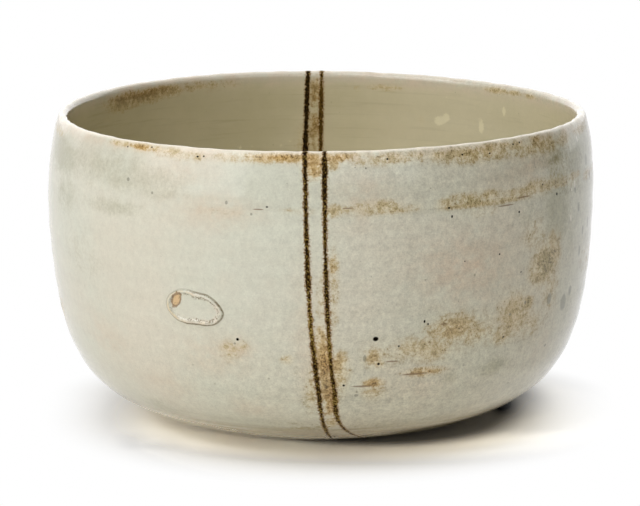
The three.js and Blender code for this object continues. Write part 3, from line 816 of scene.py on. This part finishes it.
def iron_slip(name):
    """Iron slip under the celadon: nearly black and dull, glinting brown where it is faded, with a
    brown fringe where the glaze has eaten its broken edge."""
    glaze = Celadon(name)
    grain, fine, blotch = glaze.grain, glaze.fine, glaze.blotch
    across, half, faded = (glaze.mark(mark) for mark in ("across", "half", "faded"))
    crystals = glaze.clouds(0.5 * mm, 1.0, shift=0.65)
    edge = half - abs(across) + grain * 0.26 + fine * 0.3 + blotch * 0.06 - 0.02
    fringe = edge.rise(-0.42, 0.02) * 0.7 + (edge + crystals * 0.25).rise(-0.7, -0.1) * 0.2
    glaze.lay(tint(146, 110, 62), fringe)
    sparks = (crystals * 0.8 + fine * 0.7) * (1.0 - glaze.inside * 0.6)
    ore = glaze.blend(tint(28, 17, 5), tint(98, 74, 28), (faded * 0.9 + sparks).rise(0.0, 0.75))
    ore = glaze.blend(ore, tint(156, 136, 76), (faded * 0.8 + sparks).rise(0.7, 1.05))
    lined = glaze.coat()
    dull = glaze.surface(ore, 0.4, glaze.height + fine * 0.01, IOR=1.1)
    both = {0: edge.rise(-0.05, 0.07), 1: lined, 2: dull}
    return glaze.fired(glaze.node("ShaderNodeMixShader", None, both))


for side, route in routes.items():
    brush = np.random.default_rng(len(side))
    top = np.linspace(-line_reach, line_reach, 13)
    under = np.linspace(0.8 * line_reach, -0.8 * line_reach, 3)
    offsets = np.concatenate([top, under])
    turn, run, half, faded = line_places(route, offsets)
    along = np.arange(len(half)) * line_step
    waves = (5 * mm, 7 * mm, 11 * mm, 17 * mm, 29 * mm)
    waver = sum(np.sin(2 * pi * along / wave + brush.uniform(0, 2 * pi)) * wave for wave in waves)
    half = half * (1 + 4.0 * waver)
    crown = 0.05 * mm * (1 - (offsets / line_reach) ** 2) + 0.012 * mm
    is_top = np.arange(len(offsets)) < len(top)
    lift = np.where(is_top, relief(turn, run) + crown, -line_depth)
    marks = stains(turn, run)
    marks["across"] = np.repeat(offsets[None] / mm, len(run), 0)
    marks["half"] = np.repeat(half[:, None], len(offsets), 1)
    marks["faded"] = np.repeat(faded[:, None], len(offsets), 1)
    places = capped(on_bowl(turn, run, lift))
    stroke = shell(f"{side}_iron_line", places, {name: capped(value) for name, value in marks.items()})
    stand_in(stroke, iron_slip(f"{side} iron line"), "iron_line", f"{side}_line")


# The seal: an oval wafer of clay pressed on the wall with a blank stamp, which left a low face and
# raised the clay round it. The glaze broke cream over the rim and pooled olive along its foot. How
# dark that olive is round the oval is painted shade: least at the upper left, most at the right end
# and below.
seal_turn, seal_height, seal_tilt = -0.461, 44.5 * mm, -0.12
seal_long, seal_short = 8.4 * mm, 4.2 * mm
seal_waves = [  # how many round the oval, how high for its radius, and how far round
    (1, 0.049, 2.4), (2, 0.02, -2.6), (3, 0.026, 0.65), (4, 0.049, 3), (5, 0.01, 1.5), (13, 0.007, 0),
]
seal_rim = 1.1 * mm
rim_height = 0.36 * mm
rim_waves = [(2, 0.07 * mm, -1), (5, 0.04 * mm, 2), (11, 0.03 * mm, 0)]
face_height = 0.1 * mm
seal_proud = 0.015 * mm
seal_skirt = 0.5 * mm  # what of the wafer lies round the oval, level with the wall
seal_back = 0.9 * mm
seal_spokes, seal_rings = 240, 64
pooled = [  # painted shade on the olive: how dark it is, by the turn round the oval from its right end up
    (0, 1), (0.4, 0.9), (1.1, 1), (1.9, 0.7), (2.7, 0.35), (3.6, 0.4), (4.3, 0.7), (4.9, 0.9),
    (5.6, 0.8), (6.3, 1),
]


def ripples(turn, waves):
    """The sum of waves round a ring, each a height times the cosine of so many turns and a phase."""
    return sum(height * np.cos(count * turn + phase) for count, height, phase in waves)


def backed(grid):
    """The grid with two more rings for the wafer's back: the outermost again, and the middle."""
    return np.concatenate([grid, grid[-1:], grid[:1]])


def stamped_celadon():
    """The seal's glaze: cream where it broke over the rim, yellower at the upper left, olive where
    it pooled on both sides of the rim, darker round the oval with painted shade, and toasted round
    a scorch at the left end."""
    glaze = Celadon("seal")
    mottle, blotch, grain, fine = glaze.mottle, glaze.blotch, glaze.grain, glaze.fine
    from_edge, rim, shade, burn = (glaze.mark(mark) for mark in ("from_edge", "rim", "shade", "burn"))
    # The cream turns yellower where the painted shade is weakest, at the upper left.
    yellowed = (blotch * 0.3 + 1.0 - shade).rise(0.1, 0.8)
    cream = glaze.blend(tint(228, 218, 203), tint(222, 207, 172), yellowed)
    glaze.lay(cream, rim * (mottle * 0.4 + blotch * 0.6 + 0.55))
    inner_edge = abs(from_edge + 1.15).rise(0.8, 0.1) * (grain + fine * 0.6).rise(-0.2, 0.5)
    # Painted shade: shade darkens both olive edges most at the right end and below, least at the upper
    # left, towards the lamps.
    glaze.lay(tint(124, 110, 82), inner_edge * shade)
    outer_edge = abs(from_edge - 0.1 + blotch * 0.12 + grain * 0.08).rise(0.42, 0.1) * shade
    glaze.lay(tint(114, 102, 68), outer_edge * (mottle * 0.4 + grain * 0.3 + 0.8))
    toasted = (grain + fine + blotch).rise(0.0, 1.0)
    toast = glaze.blend(tint(216, 182, 132), tint(182, 142, 92), toasted)
    glaze.lay(toast, (burn + blotch * 0.1).rise(0.25, 0.6) * 0.9)
    ring = abs(burn + grain * 0.14 + blotch * 0.12 - 0.36).rise(0.24, 0.04) * burn.rise(0.1, 0.25)
    scorched = ring + (fine + grain).rise(0.3, 0.9) * burn
    glaze.lay(tint(136, 104, 64), scorched.rise(0.0, 1.0) * 0.8)
    return glaze.fired(glaze.coat())


spokes = np.arange(seal_spokes) * 2 * pi / seal_spokes
spoke, share = np.meshgrid(spokes, np.linspace(0, 1, seal_rings))
oval_radius = seal_long * seal_short / np.hypot(seal_short * np.cos(spoke), seal_long * np.sin(spoke))
oval_radius = oval_radius * (1.04 + ripples(spoke, seal_waves))
from_edge = (oval_radius + seal_skirt) * share - oval_radius
rim = (rim_height + ripples(spoke, rim_waves)) * bell(from_edge + 0.5 * seal_rim, 0.48 * seal_rim, 4)
face = face_height * step(-from_edge - 0.1 * mm, 0.12 * mm)
reach = oval_radius + from_edge
long_way, short_way = reach * np.cos(spoke), reach * np.sin(spoke)
right = long_way * cos(seal_tilt) - short_way * sin(seal_tilt)
up = long_way * sin(seal_tilt) + short_way * cos(seal_tilt)
wall_run = run_outside(seal_height)
turn = seal_turn + right / np.interp(wall_run, run_along, path[:, 0])
run = wall_run + up
marks = stains(turn, run)
cream_width = seal_rim * (0.55 + 0.25 * np.cos(spoke + 0.5))
marks["rim"] = bell(from_edge + cream_width, 1.1 * cream_width, 4)
marks["from_edge"] = from_edge / mm
# Painted shade round the oval.
marks["shade"] = np.interp(spoke, *zip(*pooled))
burn_across = long_way + 5.7 * mm - 0.25 * short_way
marks["burn"] = bell(burn_across, 1.2 * mm) * bell(short_way - 1.1 * mm, 2.0 * mm)
lift = backed(relief(turn, run) + rim + face + seal_proud)
lift[-2:] = -seal_back
places = on_bowl(backed(turn), backed(run), lift)
marks = {name: backed(grid)[:, ::-1] for name, grid in marks.items()}
seal = shell("seal_wafer", places[:, ::-1], marks)
stand_in(seal, stamped_celadon(), "seal", "seal_pad")


# The sweep that it stands on: white paper, matt, with the bowl's shadow on it, partly rendered
# and partly painted into the colour that the camera and the gloss see. Away from the bowl it is
# shown as pure white, like the ground behind it.
sweep = bpy.data.objects.new("sweep", bpy.data.meshes.new("sweep"))
sweep.data.from_pydata([(-4, -4, 0), (4, -4, 0), (4, 4, 0), (-4, 4, 0)], [], [(0, 1, 2, 3)])
bpy.context.scene.collection.objects.link(sweep)
paper = Finish(bpy.data.materials.new("white paper"))
camera_sees = paper.node("ShaderNodeLightPath", out="Is Camera Ray")
gloss_sees = paper.node("ShaderNodeLightPath", out="Is Glossy Ray")
seen = camera_sees.most(gloss_sees)


def distance_from(x, deep=1.0):
    """Metres from a point of the floor that far to the right of the bowl's middle. What lies in
    front of it or behind counts that many times."""
    return paper.vectors("DISTANCE", paper.stretched((1, deep, 1)), (x, 0, 0), "Value")


# Painted light and shadow: what the camera and the gloss see is the paper's colour times a
# gain, little under the bowl and more outside it, most of all close in front. Painted shadow
# lowers it at the rim of the shadow, behind the bowl at the right, and at the front left.
to_right = paper.node("ShaderNodeSeparateXYZ", None, {0: paper.place}, "X")
in_front = 0.0 - paper.node("ShaderNodeSeparateXYZ", None, {0: paper.place}, "Y")
from_right = distance_from(16 * mm, 1.5)
clear = distance_from(17 * mm).rise(32 * mm, 44 * mm)
close = in_front.rise(18 * mm, 30 * mm) * from_right.rise(67 * mm, 57 * mm)
at_rim = from_right.rise(64 * mm, 88 * mm) * 1.9
at_rim = at_rim.most(distance_from(30 * mm).rise(71 * mm, 92 * mm) * 2.1)
behind = in_front.rise(14 * mm, -22 * mm) * in_front.rise(-48 * mm, -28 * mm)
right_hand = to_right.rise(46 * mm, 54 * mm) * (2.4 - to_right.rise(56 * mm, 70 * mm) * 1.6)
ahead = in_front.rise(20 * mm, 29 * mm) * in_front.rise(46 * mm, 37 * mm)
left_hand = to_right.rise(-33 * mm, -41 * mm) * to_right.rise(-58 * mm, -50 * mm) * 0.3
painted_shadow_gain = clear * (close * 1.3 + 2.3) + 0.6 - at_rim - behind * right_hand - ahead * left_hand
# Painted shadow and light: the camera and the gloss see a warm white times the gain; other rays see the
# plain paper.
shade = paper.blend(tint(236, 229, 214), paper.toned((1.0, 0.975, 0.92, 1.0), painted_shadow_gain - 1.0), seen)
lit = paper.node("ShaderNodeBsdfDiffuse", None, {"Color": shade})
white = paper.node("ShaderNodeEmission", None, {"Strength": 1.0})

# The shadow ends in painted white all round, laid over its rendered edge: by the distance from a
# line that runs back from the bowl's middle to 22 mm behind it.
across = to_right - 3 * mm
along = in_front.most((in_front + 22 * mm) * -1.4).most(0.0)
away = (across * across + along * along).root().rise(47 * mm, 82 * mm)
surface = paper.node("ShaderNodeMixShader", None, {0: away * seen, 1: lit, 2: white})
paper.node("ShaderNodeOutputMaterial", None, {"Surface": surface})
sweep.data.materials.append(paper.owner)


# The light: a broad soft one high at the front left, a window below it, a soft one overhead and
# a faint one at the front right. The camera sees white all round, and the gloss sees it behind
# the bowl.
world = bpy.data.worlds.new("studio")
bpy.context.scene.world = world
studio = Finish(world)
ambient = 0.10
behind_glow = 1.9
camera_sees = studio.node("ShaderNodeLightPath", out="Is Camera Ray")
gloss_sees = studio.node("ShaderNodeLightPath", out="Is Glossy Ray")
direction = studio.node("ShaderNodeTexCoord", out="Generated")
heading = studio.node("ShaderNodeSeparateXYZ", None, {0: direction}, "Y")
behind = heading.rise(0.48, 0.64)
strength = camera_sees * (1 - ambient) + gloss_sees * (behind * behind_glow) + ambient
ground = studio.node("ShaderNodeBackground", None, {"Strength": strength})
studio.node("ShaderNodeOutputWorld", None, {"Surface": ground})


def stand(item, turn, elevation, distance, target):
    """Puts a lamp or the camera at that turn and elevation round a target, facing it."""
    flat = distance * cos(elevation)
    item.location = target + np.array([flat * sin(turn), -flat * cos(turn), distance * sin(elevation)])
    facing = item.location.copy() - type(item.location)(target)
    item.rotation_euler = facing.to_track_quat("Z", "Y").to_euler()
    bpy.context.scene.collection.objects.link(item)


middle = np.array([0, 0, 45 * mm])
lamps = (  # degrees round from the front and up, then metres away, wide and tall, and watts
    ("overhead", 180, 80, 1.2, 1.2, 1.2, 5.5),
    ("key", -47, 49, 1.4, 1.1, 0.9, 9.8),
    ("window", -52, 20, 1.3, 1.1, 0.8, 5.0),
    ("fill", 20, 25, 1.5, 1.2, 0.9, 3.0),
)
for name, turn, elevation, distance, wide, tall, watts in lamps:
    lamp = bpy.data.lights.new(name, "AREA")
    lamp.shape, lamp.size, lamp.size_y, lamp.energy = "RECTANGLE", wide, tall, watts
    holder = bpy.data.objects.new(name, lamp)
    holder.visible_camera = False
    stand(holder, radians(turn), radians(elevation), distance, middle)

# The camera that the photo was fitted to: a long lens, 1 m away and a little above the rim.
sensor_width = 36  # mm
focal_length, picture_width = 3579.6, 640  # pixels
aim = np.array([-0.21, 0, 45.81]) * mm
camera = bpy.data.objects.new("camera", bpy.data.cameras.new("camera"))
camera.data.sensor_width = sensor_width
camera.data.lens = sensor_width * focal_length / picture_width
stand(camera, 0, radians(11.285), 1.0, aim)
bpy.context.scene.camera = camera
bpy.context.scene.view_settings.view_transform = "Standard"
